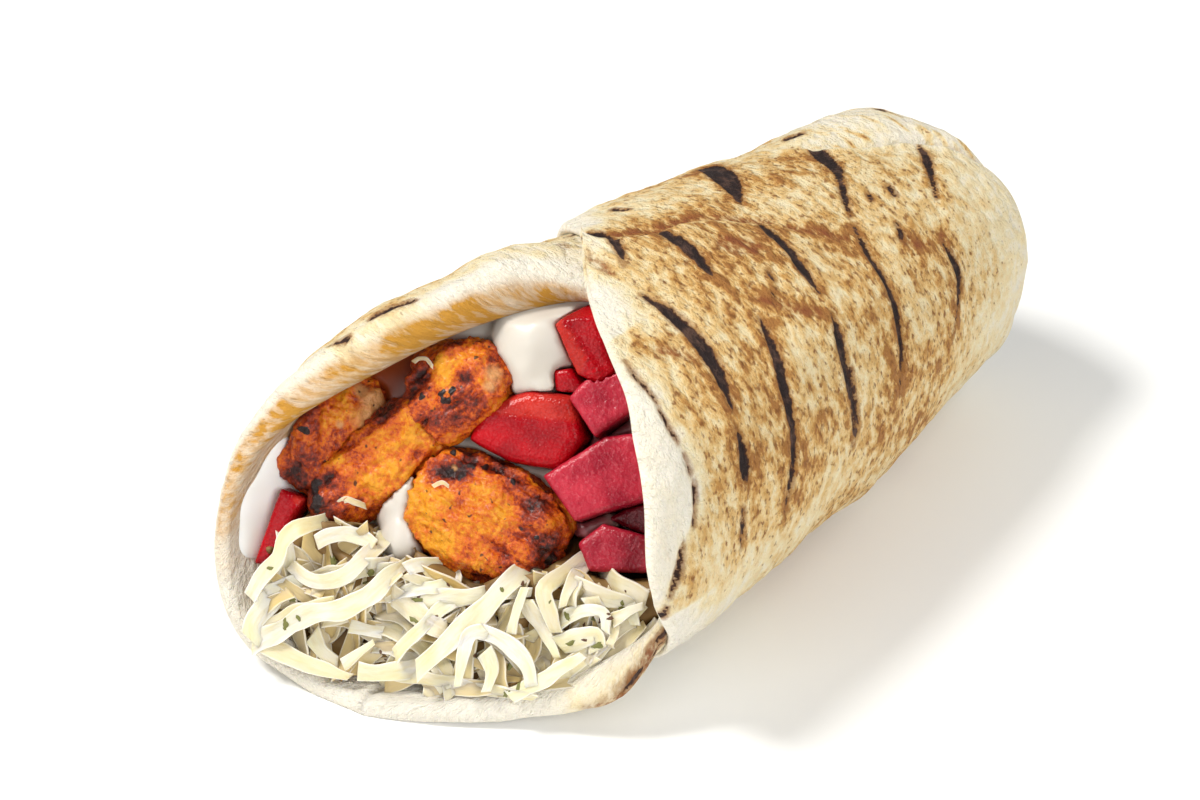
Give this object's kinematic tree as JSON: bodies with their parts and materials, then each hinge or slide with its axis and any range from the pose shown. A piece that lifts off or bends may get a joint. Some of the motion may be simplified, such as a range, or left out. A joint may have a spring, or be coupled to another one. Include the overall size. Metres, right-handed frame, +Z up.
{
  "type": "shish taouk wrap",
  "caption": "Grilled flatbread rolled round marinated chicken, tomato, pickled turnip, shredded cabbage and garlic sauce, open at one end with a flap folded over.",
  "frame": {"origin": "on the table, under the middle of the whole wrap", "axes": "+Y along the roll towards its closed end, +Z up, +X towards the side that the flap comes down over"},
  "size_m": [0.0908, 0.1908, 0.0752],
  "materials": {
    "bread": "matte baked flatbread with grill marks",
    "chicken": "moist grilled chicken",
    "tomato": "wet cut tomato",
    "turnip": "wet pickled turnip",
    "sauce": "smooth creamy garlic sauce",
    "cabbage": "moist shredded cabbage"
  },
  "bodies": {
    "root": {"flatbread": "bread", "chicken_1": "chicken", "chicken_2": "chicken", "chicken_3": "chicken", "tomato_1": "tomato", "tomato_2": "tomato", "tomato_3": "tomato", "tomato_4": "tomato", "turnip_1": "turnip", "turnip_2": "turnip", "turnip_3": "turnip", "turnip_4": "turnip", "garlic_sauce": "sauce", "cabbage": "cabbage"}
  },
  "joints": []
}
